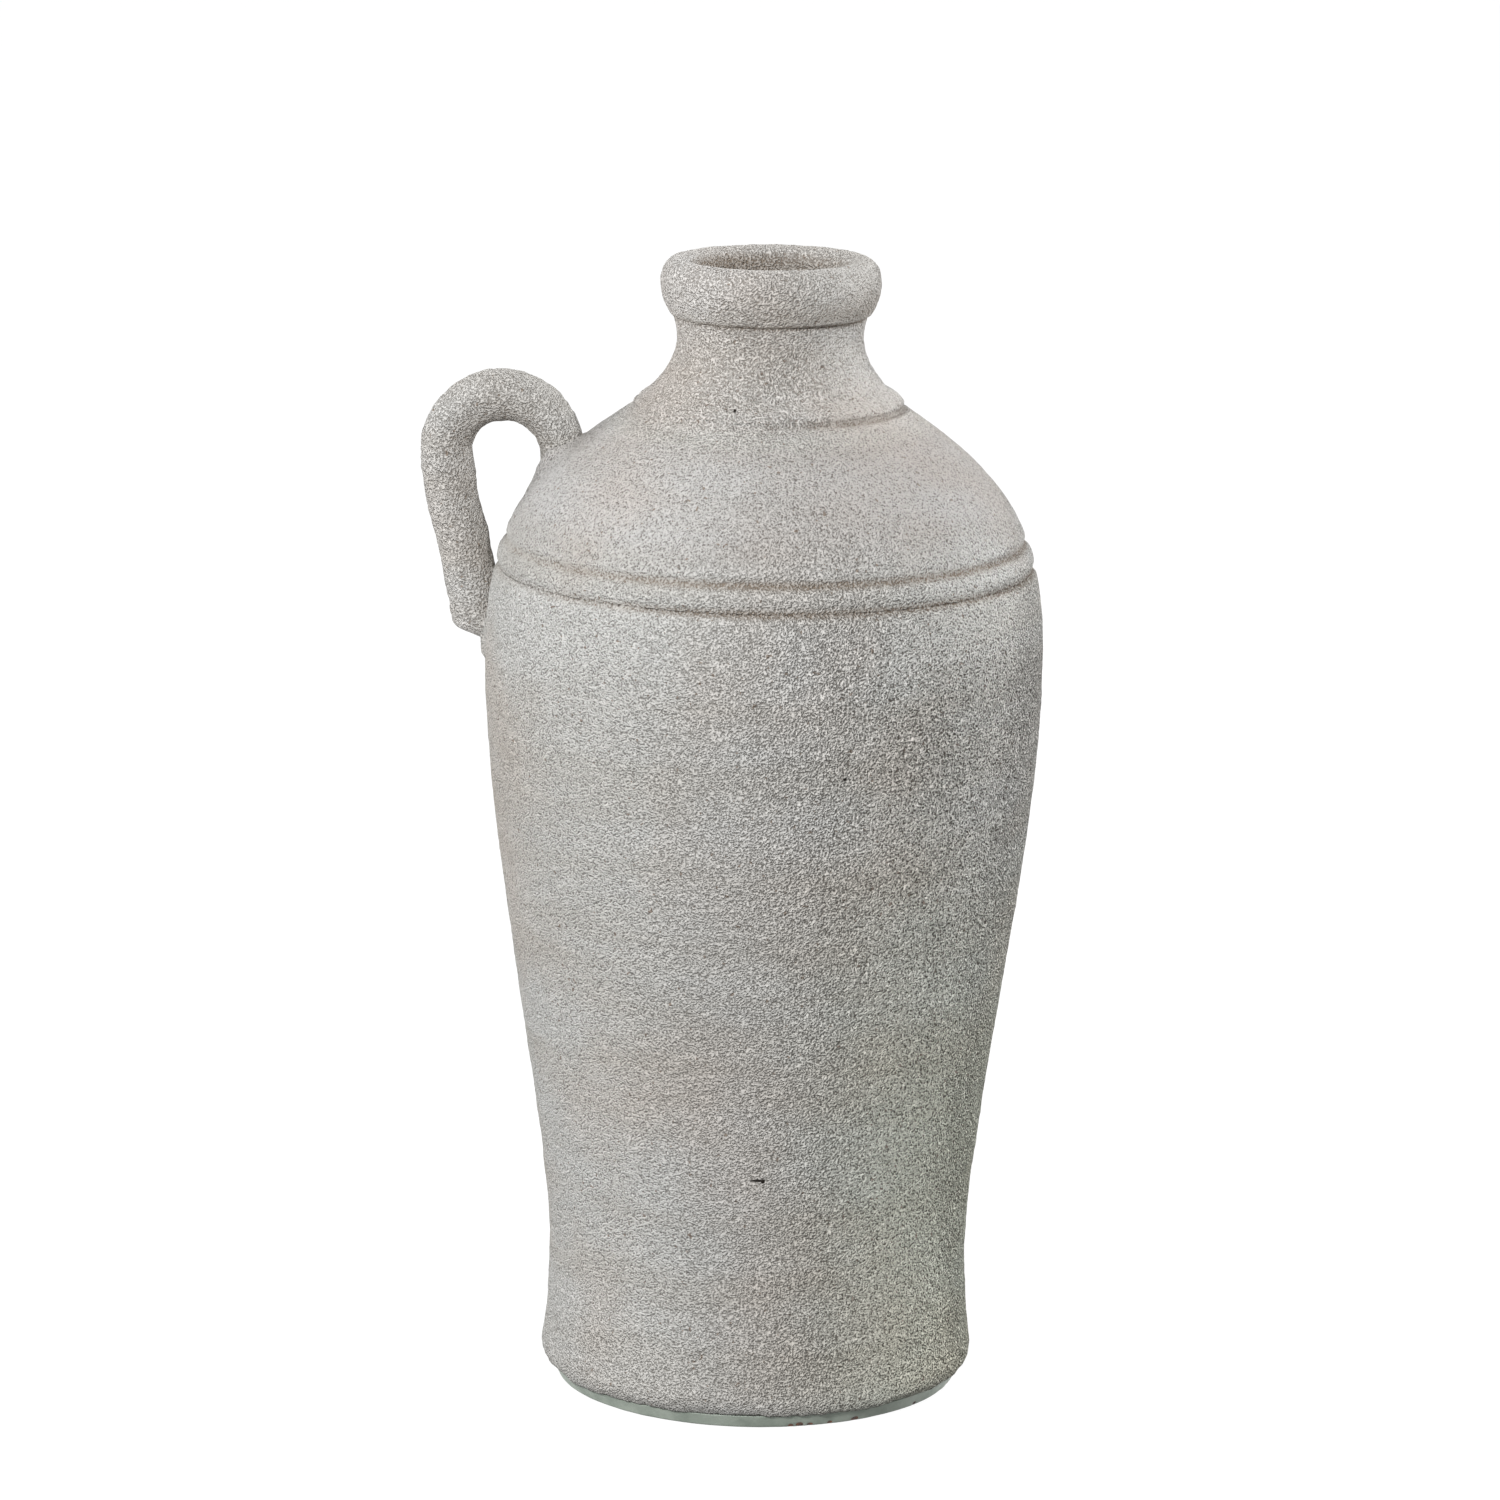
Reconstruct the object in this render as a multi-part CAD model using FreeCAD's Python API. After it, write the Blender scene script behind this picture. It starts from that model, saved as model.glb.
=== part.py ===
"""A one-handled ceramic jug of lekythos form, made from the pieces a potter throws and lutes together.

The jug stands on Z = 0 with its axis on +Z, and its handle lies in the XZ plane, towards -X.
All sizes are millimetres, and every radius is measured from the jug's axis.

There are six pieces: the foot slab, the body wall, the shoulder, the neck, the lip and the handle.
The foot slab is a spigot in the body wall. Each thrown ring above it sits with a V tongue in the
V groove of the ring below. The handle is a coil whose two ends are butted on to the outer face.
"""

import FreeCAD
import Part
import math
import os

# Heights, stacked from the table up
band_height = 4.8
toe_height = 6.1
waist_height = 38.1
belly_height = 215.0
shoulder_height = 91.6
neck_foot_height = 1.6
neck_taper_height = 23.8
neck_flare_height = 7.1
lip_swell_height = 11.4
lip_crown_height = 9.6

# Outer radii, from the table up
standing_radius = 72.4
band_radius = 74.2
coat_edge_radius = 75.0
toe_radius = 78.2
waist_radius = 75.6
belly_radius = 99.65
shoulder_top_radius = 48.4
neck_foot_radius = 47.4
neck_foot_top_radius = 46.7
neck_radius = 33.1
neck_top_radius = 34.6
lip_root_radius = 35.0
lip_radius = 39.1
lip_crest_radius = 33.3

# Walls and hollow
wall = 7.0
floor_thickness = 9.5
throat_radius = 26.3
throat_flare_height = 16.5
mouth_round_height = 7.5

# Two turned grooves, the lower one on the joint of body wall and shoulder
groove_rise = 35.0
groove_pitch = 9.5
groove_depth = 1.2
groove_tool_radius = 4.4

# V joints between the thrown rings
tongue_width = 3.2
tongue_depth = 2.4

# Handle: a coil that climbs out of the shoulder, loops over and runs down on to the body wall
handle_root_inset = 25.95
handle_loop_radius = 20.9
handle_rise = 20.0
handle_end_rise = 8.0
handle_end_offset = 2.4
handle_end_round = 3.6
handle_root_sink = 14.0
handle_thickness = 18.6
handle_width = 20.5
handle_root_thickness = 14.8
handle_root_width = 19.0

# How the outlines run between their named points: shares of the step in height or in radius
coat_edge_bend_share = 0.4
toe_pull_shares = (0.1, 0.75)
body_pull_shares = (0.2, 0.3)
dome_pull_shares = (0.54, 0.73)
dome_slope_share = 1.5
neck_bend_share = 0.5
lip_bend_share = 0.5
round_pull_share = 0.552
handle_leg_outline_shares = ((0.24, 0.16), (0.46, 0.45), (0.69, 0.7))
handle_root_end_share = 0.3

# How finely the formulas are stepped
arch_steps = 6
coil_sections = 14
search_steps = 60

UP = FreeCAD.Vector(0, 0, 1)
ACROSS = FreeCAD.Vector(0, 1, 0)
ORIGIN = FreeCAD.Vector(0, 0, 0)
FULL_TURN = 360
HALF_TURN = math.pi

# Heights worked out from the stack
toe_z = band_height + toe_height
waist_z = toe_z + waist_height
belly_z = waist_z + belly_height
seam_z = belly_z + shoulder_height
neck_foot_top_z = seam_z + neck_foot_height
neck_z = neck_foot_top_z + neck_taper_height
lip_z = neck_z + neck_flare_height
lip_swell_z = lip_z + lip_swell_height
crest_z = lip_swell_z + lip_crown_height
groove_z = belly_z + groove_rise
inner_radius = waist_radius - wall


def at(radius, height):
    """A point of an outline, which is drawn in the XZ plane."""
    return FreeCAD.Vector(radius, 0, height)


def between(start, end, shares):
    """The points at the given shares of the height and of the radius from start to end."""
    step = end - start
    return [at(start.x + step.x * across, start.z + step.z * up) for up, across in shares]


def line(start, end):
    return Part.LineSegment(start, end).toShape()


def bend(start, corner, end):
    """A parabola that leaves start towards the corner and reaches end from it."""
    curve = Part.BezierCurve()
    curve.setPoles([start, corner, end])
    return curve


def swell(start, end, pull_shares):
    """A curve that leaves start and reaches end upright, pulled up and down by shares of its height."""
    climb = at(0, end.z - start.z)
    curve = Part.BezierCurve()
    curve.setPoles([start, start + climb * pull_shares[0], end - climb * pull_shares[1], end])
    return curve


def dome(start, end):
    """A curve that leaves start upright and reaches end at the slope of the shoulder's top."""
    rise = at(0, end.z - start.z) * dome_pull_shares[0]
    reach = at(1, -1 / dome_slope_share) * ((start.x - end.x) * dome_pull_shares[1])
    curve = Part.BezierCurve()
    curve.setPoles([start, start + rise, end + reach, end])
    return curve


def quarter_round(start, corner, end):
    """A quarter of an ellipse from start to end, inside their corner."""
    curve = Part.BezierCurve()
    near_start = start + (corner - start) * round_pull_share
    near_end = end + (corner - end) * round_pull_share
    curve.setPoles([start, near_start, near_end, end])
    return curve


def climb_to(curve, height):
    """The parameter at which a curve that climbs all the way passes a height."""
    low = curve.FirstParameter
    high = curve.LastParameter
    for _ in range(search_steps):
        middle = (low + high) / 2
        if curve.value(middle).z < height:
            low = middle
        else:
            high = middle
    return (low + high) / 2


def split_at(curve, height):
    """The edges of a climbing curve below and above a height, and its point there."""
    parameter = climb_to(curve, height)
    below = curve.toShape(curve.FirstParameter, parameter)
    above = curve.toShape(parameter, curve.LastParameter)
    return below, above, curve.value(parameter)


def set_in(curve, parameter):
    """The point inside the wall across from a point of its outer face."""
    climb = curve.tangent(parameter)[0]
    return curve.value(parameter) + at(-climb.z, climb.x) * wall


def turned(edges):
    """The solid of a closed outline turned once round the jug's axis."""
    outline = Part.Wire(Part.__sortEdges__(edges))
    return Part.Face(outline).revolve(ORIGIN, UP, FULL_TURN)


def tongue_joint(inner, outer, edge):
    """Where two rings meet: a flat, a V midway from inner to outer that points down, and a flat to edge."""
    middle = (inner + outer) / 2
    half_width = at(tongue_width / 2, 0)
    tip = middle - at(0, tongue_depth)
    return [
        line(inner, middle - half_width),
        line(middle - half_width, tip),
        line(tip, middle + half_width),
        line(middle + half_width, edge),
    ]


def arc_about(centre, start, end):
    """The short arc from start to end round a centre."""
    middle = (start - centre) + (end - centre)
    middle.normalize()
    return Part.Arc(start, centre + middle * start.distanceToPoint(centre), end).toShape()


def tool_edge(curve, centre, inside, outside):
    """The parameter at which a curve leaves the round nose of the grooving tool."""
    for _ in range(search_steps):
        middle = (inside + outside) / 2
        if curve.value(middle).distanceToPoint(centre) < groove_tool_radius:
            inside = middle
        else:
            outside = middle
    return (inside + outside) / 2


def groove(curve, height):
    """A groove turned into a climbing curve: the tool's centre, the bottom, and both edges' parameters."""
    middle = climb_to(curve, height)
    climb = curve.tangent(middle)[0]
    outward = at(climb.z, -climb.x)
    centre = curve.value(middle) + outward * (groove_tool_radius - groove_depth)
    bottom = centre - outward * groove_tool_radius
    low = tool_edge(curve, centre, middle, climb_to(curve, height - groove_tool_radius))
    high = tool_edge(curve, centre, middle, climb_to(curve, height + groove_tool_radius))
    return centre, bottom, low, high


# Outer face, from the lower edge of the coat to the foot of the neck
coat_edge = at(coat_edge_radius, band_height)
coat_corner = at(toe_radius, band_height + toe_height * coat_edge_bend_share)
toe = at(toe_radius, toe_z)
waist = at(waist_radius, waist_z)
belly = at(belly_radius, belly_z)
shoulder_top = at(shoulder_top_radius, seam_z)
coat_edge_curve = bend(coat_edge, coat_corner, toe)
toe_curve = swell(toe, waist, toe_pull_shares)
body_curve = swell(waist, belly, body_pull_shares)
dome_curve = dome(belly, shoulder_top)

# Inner face of the wall, and the funnel that leads from it into the throat
hollow_waist = at(inner_radius, waist_z)
hollow_belly = set_in(dome_curve, dome_curve.FirstParameter)
hollow_top = set_in(dome_curve, dome_curve.LastParameter)
funnel_corner = at(throat_radius, hollow_top.z + (hollow_top.x - throat_radius) / dome_slope_share)
throat_foot = funnel_corner + at(0, throat_flare_height)
hollow_body_curve = swell(hollow_waist, hollow_belly, body_pull_shares)
hollow_dome_curve = dome(hollow_belly, hollow_top)
funnel_curve = bend(hollow_top, funnel_corner, throat_foot)


def foot_slab():
    """The floor: a slab whose bare bevelled edge shows under the coat, and a spigot inside the wall."""
    floor_edge = at(inner_radius, floor_thickness)
    seat_edge = at(inner_radius, band_height)
    band_top = at(band_radius, band_height)
    standing_edge = at(standing_radius, 0)
    corners = [ORIGIN, standing_edge, band_top, seat_edge, floor_edge, at(0, floor_thickness), ORIGIN]
    return turned([line(start, end) for start, end in zip(corners, corners[1:])])


def body_wall():
    """The tall thrown cylinder, from the foot slab to the bottom of the lower groove."""
    centre, joint, groove_low, _ = groove(dome_curve, groove_z)
    inner_below, _, inner_joint = split_at(hollow_dome_curve, joint.z)
    seat_edge = at(inner_radius, band_height)
    edges = [line(seat_edge, coat_edge), coat_edge_curve.toShape(), toe_curve.toShape()]
    edges += [body_curve.toShape(), dome_curve.toShape(dome_curve.FirstParameter, groove_low)]
    edges += [arc_about(centre, dome_curve.value(groove_low), joint)]
    edges += tongue_joint(inner_joint, joint, joint)
    edges += [inner_below, hollow_body_curve.toShape(), line(seat_edge, hollow_waist)]
    return turned(edges)


def shoulder():
    """The dome that closes the body in, with a rounded bead between its two grooves."""
    centre, joint, _, bead_low = groove(dome_curve, groove_z)
    upper_centre, upper_bottom, bead_high, dome_low = groove(dome_curve, groove_z + groove_pitch)
    _, inner_above, inner_joint = split_at(hollow_dome_curve, joint.z)
    funnel_below, _, funnel_joint = split_at(funnel_curve, seam_z)
    edges = tongue_joint(inner_joint, joint, joint)
    edges += [arc_about(centre, joint, dome_curve.value(bead_low))]
    edges += [dome_curve.toShape(bead_low, bead_high)]
    edges += [arc_about(upper_centre, dome_curve.value(bead_high), upper_bottom)]
    edges += [arc_about(upper_centre, upper_bottom, dome_curve.value(dome_low))]
    edges += [dome_curve.toShape(dome_low, dome_curve.LastParameter)]
    edges += tongue_joint(funnel_joint, shoulder_top, shoulder_top) + [funnel_below, inner_above]
    return turned(edges)


def neck():
    """The neck, luted on to the shoulder with a small step, drawn in and flared again to the lip."""
    _, funnel_above, funnel_joint = split_at(funnel_curve, seam_z)
    foot_edge = at(neck_foot_radius, seam_z)
    foot_top = at(neck_foot_top_radius, neck_foot_top_z)
    narrow = at(neck_radius, neck_z)
    top = at(neck_top_radius, lip_z)
    throat_top = at(throat_radius, lip_z)
    taper_corner = at(neck_radius, neck_foot_top_z + neck_taper_height * neck_bend_share)
    flare_corner = at(neck_radius, neck_z + neck_flare_height * neck_bend_share)
    edges = tongue_joint(funnel_joint, shoulder_top, foot_edge)
    edges += [line(foot_edge, foot_top), bend(foot_top, taper_corner, narrow).toShape()]
    edges += [bend(narrow, flare_corner, top).toShape()]
    edges += tongue_joint(throat_top, top, top) + [line(throat_foot, throat_top), funnel_above]
    return turned(edges)


def lip():
    """The thick rolled lip round the mouth."""
    throat_top = at(throat_radius, lip_z)
    root = at(lip_root_radius, lip_z)
    bulge = at(lip_radius, lip_swell_z)
    crest = at(lip_crest_radius, crest_z)
    mouth_edge = at(throat_radius, crest_z - mouth_round_height)
    bulge_corner = at(lip_radius, lip_z + lip_swell_height * lip_bend_share)
    outer_crown = quarter_round(bulge, at(lip_radius, crest_z), crest)
    inner_crown = quarter_round(mouth_edge, at(throat_radius, crest_z), crest)
    edges = tongue_joint(throat_top, at(neck_top_radius, lip_z), root)
    edges += [bend(root, bulge_corner, bulge).toShape(), outer_crown.toShape(), inner_crown.toShape()]
    edges += [line(throat_top, mouth_edge)]
    return turned(edges)


def shoulder_at(radius):
    """The point at which the shoulder's outer face is drawn in to a radius."""
    low = dome_curve.FirstParameter
    high = dome_curve.LastParameter
    for _ in range(search_steps):
        middle = (low + high) / 2
        if dome_curve.value(middle).x > radius:
            low = middle
        else:
            high = middle
    return dome_curve.value((low + high) / 2)


def handle_line():
    """The coil's centre line: up out of the shoulder, over in a half ellipse and down to the wall."""
    root = shoulder_at(belly_radius - handle_root_inset)
    pressed = dome_curve.value(climb_to(dome_curve, belly_z + handle_end_rise))
    end = pressed + at(handle_end_offset, 0)
    centre = root + at(handle_loop_radius, 0)
    points = [root - at(0, handle_root_sink)]
    for step in range(2 * arch_steps + 1):
        angle = HALF_TURN * (1 - step / (2 * arch_steps))
        points.append(centre + at(handle_loop_radius * math.cos(angle), handle_rise * math.sin(angle)))
    points += between(points[-1], end, handle_leg_outline_shares) + [end]
    curve = Part.BSplineCurve()
    curve.interpolate(points)
    return curve


def coil_section(centre, climb, thickness, width):
    """An oval outline square to the coil's centre line, from a unit circle."""
    side = at(climb.z, -climb.x)
    place = FreeCAD.Matrix()
    half_side = side * (thickness / 2)
    half_across = ACROSS * (width / 2)
    place.A11, place.A21, place.A31 = half_side.x, half_side.y, half_side.z
    place.A12, place.A22, place.A32 = half_across.x, half_across.y, half_across.z
    place.A13, place.A23, place.A33 = climb.x, climb.y, climb.z
    place.A14, place.A24, place.A34 = centre.x, centre.y, centre.z
    return Part.Wire(Part.Circle(ORIGIN, UP, 1).toShape().transformGeometry(place))


def outer_form():
    """The jug's outer face from its waist to its neck, as a filled solid."""
    edges = [body_curve.toShape(), dome_curve.toShape(), line(shoulder_top, at(0, seam_z))]
    edges += [line(at(0, seam_z), at(0, waist_z)), line(at(0, waist_z), waist)]
    return turned(edges)


def handle():
    """The handle coil, thinner at its upper root, with a blunt rounded lower end."""
    curve = handle_line()
    sections = []
    for step in range(coil_sections + 1):
        share = step / coil_sections
        parameter = curve.FirstParameter + (curve.LastParameter - curve.FirstParameter) * share
        fullness = min(share / handle_root_end_share, 1)
        thickness = handle_root_thickness + (handle_thickness - handle_root_thickness) * fullness
        width = handle_root_width + (handle_width - handle_root_width) * fullness
        sections.append(coil_section(curve.value(parameter), curve.tangent(parameter)[0], thickness, width))
    coil = Part.makeLoft(sections, True)
    end = curve.value(curve.LastParameter)
    end_face = min(coil.Faces, key=lambda face: face.CenterOfMass.distanceToPoint(end))
    coil = coil.makeFillet(handle_end_round, end_face.Edges)
    return coil.cut(outer_form()).mirror(ORIGIN, FreeCAD.Vector(1, 0, 0))


os.makedirs("parts", exist_ok=True)
pieces = {
    "foot_slab": foot_slab(),
    "body_wall": body_wall(),
    "shoulder": shoulder(),
    "neck": neck(),
    "lip": lip(),
    "handle": handle(),
}
for name, shape in pieces.items():
    shape.exportStep(f"parts/{name}.step")
    box = shape.optimalBoundingBox(True, False)
    print(name, "solids", len(shape.Solids), "valid", shape.isValid(), "volume", round(shape.Volume))
    print("   x", round(box.XMin, 2), round(box.XMax, 2), "z", round(box.ZMin, 2), round(box.ZMax, 2))
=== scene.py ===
# %% [markdown]
# # A one-handled stoneware jug in a sand coat
#
# The jug is thrown in rings that are luted together, and a thick hand-rolled coil makes its handle.
# Sand and slip were brushed over all of it but the foot, so its whole look is one coarse pale coat.
# The CAD model gives the joints' heights and the main radii, and the other sizes are named where they
# are first used. Each of its pieces gets a finer skin here, which has the coat's lumps in its mesh and
# the sand's grains in its material.

# %% Load the frame
import itertools
import math

import bpy
import numpy as np
from mathutils import Matrix, Vector


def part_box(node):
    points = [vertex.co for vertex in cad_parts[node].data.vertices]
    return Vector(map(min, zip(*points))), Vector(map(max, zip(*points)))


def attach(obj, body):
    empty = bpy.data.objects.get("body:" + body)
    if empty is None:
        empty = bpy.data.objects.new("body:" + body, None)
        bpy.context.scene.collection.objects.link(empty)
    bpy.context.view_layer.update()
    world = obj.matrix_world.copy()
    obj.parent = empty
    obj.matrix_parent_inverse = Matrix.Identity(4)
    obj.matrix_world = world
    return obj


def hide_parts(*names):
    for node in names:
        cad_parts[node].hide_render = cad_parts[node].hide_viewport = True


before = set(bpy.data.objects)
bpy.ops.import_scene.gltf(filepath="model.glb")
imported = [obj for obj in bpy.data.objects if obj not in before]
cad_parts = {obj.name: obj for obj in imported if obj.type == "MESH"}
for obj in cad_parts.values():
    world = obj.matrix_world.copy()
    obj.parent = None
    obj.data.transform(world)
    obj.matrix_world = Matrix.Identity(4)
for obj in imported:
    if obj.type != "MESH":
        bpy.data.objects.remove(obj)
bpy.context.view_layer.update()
print("pieces:", sorted(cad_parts))

# %% [markdown]
# ## The outline
#
# A thrown pot is round, so half of its outline says nearly everything about its shape. The outline
# could be copied from the CAD mesh, but a few named points joined by Bezier curves are easier to read
# and can be sampled as finely as the coat needs. The heights of the joints come from the CAD boxes.

# %% Sizes
mm = 0.001
band_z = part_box("body_wall")[0].z
slab_top_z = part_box("foot_slab")[1].z
body_joint_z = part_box("body_wall")[1].z
seam_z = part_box("shoulder")[1].z + 0.8 * mm
lip_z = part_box("neck")[1].z
crest_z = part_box("lip")[1].z - 0.6 * mm
belly_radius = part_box("body_wall")[1].x
lip_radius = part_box("lip")[1].x
band_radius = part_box("foot_slab")[1].x
standing_radius = 72.4 * mm
coat_edge_radius = 75.0 * mm
toe_radius, toe_z = 78.2 * mm, 10.9 * mm
waist_radius, waist_z = 75.6 * mm, 49.0 * mm
belly_z = 264.0 * mm
shoulder_top_radius = 47.4 * mm
neck_foot_radius = 46.5 * mm
neck_radius, neck_z = 33.1 * mm, 381.0 * mm
lip_root_radius = 35.0 * mm
lip_swell_z = 399.5 * mm
lip_crest_radius = 33.3 * mm
throat_radius = 26.3 * mm
wall = 7.0 * mm
print(f"joints at {body_joint_z:.4f}, {seam_z:.4f} and {lip_z:.4f} m, top at {crest_z:.4f} m")

# %% A curve pulled by poles
def bezier(poles, count=60):
    """Points along the Bezier curve of some poles, from the first pole to the last."""
    share = np.linspace(0, 1, count)[:, None]
    rows = [np.tile(np.array(pole, float), (count, 1)) for pole in poles]
    while len(rows) > 1:
        rows = [start + (end - start) * share for start, end in zip(rows, rows[1:])]
    return rows[0]


def swell(start, end, low_pull, high_pull):
    """A curve that leaves start and reaches end upright."""
    climb = end[1] - start[1]
    return bezier([start, (start[0], start[1] + climb * low_pull), (end[0], end[1] - climb * high_pull), end])


def dome(start, end, rise=0.54, reach=0.73, slope=1.5):
    """A curve that leaves start upright and comes in over the top at a slope."""
    out = (start[0] - end[0]) * reach
    lift = (end[1] - start[1]) * rise
    return bezier([start, (start[0], start[1] + lift), (end[0] + out, end[1] - out / slope), end])


def quarter_round(start, corner, end, pull=0.552):
    """A quarter of an ellipse from start to end, inside their corner."""
    start, corner, end = (np.array(point) for point in (start, corner, end))
    return bezier([start, start + (corner - start) * pull, end + (corner - end) * pull, end])


print("a curve has", len(bezier([(0, 0), (1, 1)])), "points")

# %% Outer line, from the coat's lower edge over the lip and down into the throat
neck_step_radius, neck_step_z = 45.8 * mm, 358.2 * mm
neck_top_radius = 34.6 * mm
mouth_edge_z = 401.6 * mm
crest = (lip_crest_radius, crest_z)
body_line = np.vstack([
    bezier([(coat_edge_radius, band_z), (toe_radius, band_z + 2.4 * mm), (toe_radius, toe_z)]),
    swell((toe_radius, toe_z), (waist_radius, waist_z), 0.1, 0.75),
    swell((waist_radius, waist_z), (belly_radius, belly_z), 0.2, 0.3),
    dome((belly_radius, belly_z), (shoulder_top_radius, seam_z)),
])
neck_line = np.vstack([
    bezier([(neck_foot_radius, seam_z), (neck_step_radius, neck_step_z)]),
    bezier([(neck_step_radius, neck_step_z), (neck_radius, (neck_step_z + neck_z) / 2),
            (neck_radius, neck_z)]),
    bezier([(neck_radius, neck_z), (neck_radius, (neck_z + lip_z) / 2), (neck_top_radius, lip_z)]),
])
lip_line = np.vstack([
    bezier([(lip_root_radius, lip_z), (lip_radius, (lip_z + lip_swell_z) / 2), (lip_radius, lip_swell_z)]),
    quarter_round((lip_radius, lip_swell_z), (lip_radius, crest_z), crest),
    quarter_round(crest, (throat_radius, crest_z), (throat_radius, mouth_edge_z)),
    bezier([(throat_radius, mouth_edge_z), (throat_radius, lip_z)]),
])
print("outer line:", len(body_line) + len(neck_line) + len(lip_line), "points")

# %% Inner line of the hollow, from the throat down to the floor
hollow_top = (44.5 * mm, 349.8 * mm)
throat_foot_z = 378.4 * mm
funnel_corner = (throat_radius, 361.9 * mm)
hollow_belly = (belly_radius - wall, belly_z)
hollow_waist = (waist_radius - wall, waist_z)
hollow_line = np.vstack([
    bezier([(throat_radius, lip_z), (throat_radius, throat_foot_z)], 8),
    bezier([(throat_radius, throat_foot_z), funnel_corner, hollow_top], 20),
    dome(hollow_belly, hollow_top)[::-3],
    swell(hollow_waist, hollow_belly, 0.2, 0.3)[::-3],
    [(waist_radius - wall, band_z)],
])
print("inner line:", len(hollow_line), "points")

# %% [markdown]
# ## The coat's relief
#
# Brushed sand isn't even: it lies in soft lumps over the thrower's rings, with grains a millimetre or
# two wide on top. A displacement modifier with a noise texture could make that, but the joints between
# the rings would show unless both sides rise alike. So one function of the place in space gives the
# height everywhere, and each piece asks it for its own points.

# %% Soft noise
noise_period = 64


def soft_noise(points, size, seed):
    """Smooth random values from -1 to 1 that change over about one size."""
    table = np.random.default_rng(seed).uniform(-1, 1, (noise_period,) * 3)
    place = points / size + noise_period
    corner = np.floor(place).astype(int)
    share = place - corner
    share = share * share * (3 - 2 * share)
    total = np.zeros(len(points))
    for step in itertools.product((0, 1), repeat=3):
        weight = np.prod(np.where(step, share, 1 - share), axis=1)
        total += weight * table[tuple(((corner + step) % noise_period).T)]
    return total


print("soft noise repeats after", noise_period, "sizes")

# %% Coat height
lump_size, lump_height = 7.0 * mm, 0.13 * mm
clump_size, clump_height = 3.4 * mm, 0.08 * mm
grain_size, grain_height = 1.7 * mm, 0.14 * mm
ring_size, ring_height = 11.0 * mm, 0.16 * mm


def coat_height(points, roughness=1.0):
    """How far the coat stands out at some points: thrower's rings, lumps, clumps and grains."""
    round_the_jug = points * (0.12, 0.12, 1)
    height = ring_height * soft_noise(round_the_jug, ring_size, 3)
    height += roughness * lump_height * soft_noise(points, lump_size, 5)
    height += roughness * clump_height * soft_noise(points, clump_size, 7)
    height += roughness * grain_height * soft_noise(points, grain_size, 11)
    return height


print(f"coat up to {(ring_height + lump_height + clump_height + grain_height) / mm:.2f} mm proud")

# %% [markdown]
# ## Tool marks
#
# Two grooves were turned into the shoulder with a bead left between them, the neck's foot shows as a
# raised seam on one side only, and a crease runs under the lip. They are changes of height along the
# outline, so they are added to the coat's height. The same marks are coloured too: painted shade under
# the seam's ledge, in the crease under the lip and in the throat, and a darker brown in the grooves and
# low on the lip's right side, kept on the mesh as an attribute for the material. Each piece calls its
# marks with the angle round the jug, the radius and the height, so every function here takes all three.

# %% Grooves, seam and crease
groove_low_z, groove_high_z = body_joint_z, 308.2 * mm
groove_half_width, groove_depth = 3.1 * mm, 1.25 * mm
bead_height = 0.3 * mm
# Round the jug, where the grooves are darkest.
groove_dark_middle = math.radians(-25)
seam_middle, seam_reach = math.radians(12), math.radians(97)
seam_foot_height = 7.0 * mm
seam_step, seam_swell = 0.95 * mm, 0.75 * mm
# The second value is how strongly the crease under the seam's ledge is painted with brown shadow.
seam_rise, seam_shadow_strength = 1.7, 0.65
seam_crease_z, seam_crease_depth = seam_z - 0.5 * mm, 1.1 * mm
crease_half_width = 1.3 * mm
lip_crease_depth = 0.55 * mm
# Round the jug, where the crease's painted shade and the lip's brown are strongest.
lip_dark_middle = math.radians(-35)


def hump(distance, half_width):
    """1 at no distance, falling smoothly to 0 at the half width."""
    share = np.clip(np.abs(distance) / half_width, 0, 1)
    return (1 - share * share) ** 2


def shoulder_marks(angle, radius, z):
    """Height of the two grooves and the bead between them, and how much darker brown the grooves are."""
    low = hump(z - groove_low_z, groove_half_width)
    high = hump(z - groove_high_z, groove_half_width)
    bead = hump(z - (groove_low_z + groove_high_z) / 2, groove_half_width)
    # The grooves are coloured darker brown, most on the jug's right.
    groove_side_share = 0.35 + 0.65 * np.clip(0.5 + np.cos(angle - groove_dark_middle), 0, 1)
    return bead_height * bead - groove_depth * (low + high), np.clip(low + high, 0, 1) ** 2 * groove_side_share


def seam_marks(angle, radius, z):
    """Height of the seam at the neck's foot, which fades out round the left of the jug, and the painted
    shadow in the crease under its ledge.
    """
    strength = np.clip((np.cos(angle - seam_middle) - math.cos(seam_reach)) * seam_rise, 0, 1)
    crease = strength * hump(z - seam_crease_z, crease_half_width)
    foot = np.where(z >= seam_z, hump(z - seam_z, seam_foot_height), 0)
    height = foot * (seam_step + seam_swell * strength) - seam_crease_depth * crease * (z <= seam_z)
    return height, seam_shadow_strength * crease


def lip_marks(angle, radius, z):
    """Height of the crease under the lip, which is painted with shade, the brown low on the lip's right side,
    and the painted shade in the throat.
    """
    right = (1 + np.cos(angle - lip_dark_middle)) / 2
    crease = hump(z - lip_z, crease_half_width)
    wash = right ** 3 * hump(z - (lip_z + 5.0 * mm), 7.0 * mm) * (z > lip_z)
    left = (1 - np.cos(angle)) / 2
    throat = np.clip((throat_radius + 2.5 * mm - radius) / (2.0 * mm), 0, 1) * (0.5 + 0.5 * left)
    outside = radius > throat_radius + 3.0 * mm
    height = -lip_crease_depth * crease * (0.25 + 0.75 * right) * outside
    # Painted shade in the crease under the lip and, more on the left, in the throat; brown low on the lip's
    # right side.
    return height, np.where(outside, np.clip(crease * (0.3 + 0.7 * right) + 0.4 * wash, 0, 1), throat)


print(f"grooves at {groove_low_z:.4f} and {groove_high_z:.4f} m, {groove_depth / mm:.2f} mm deep")

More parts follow.
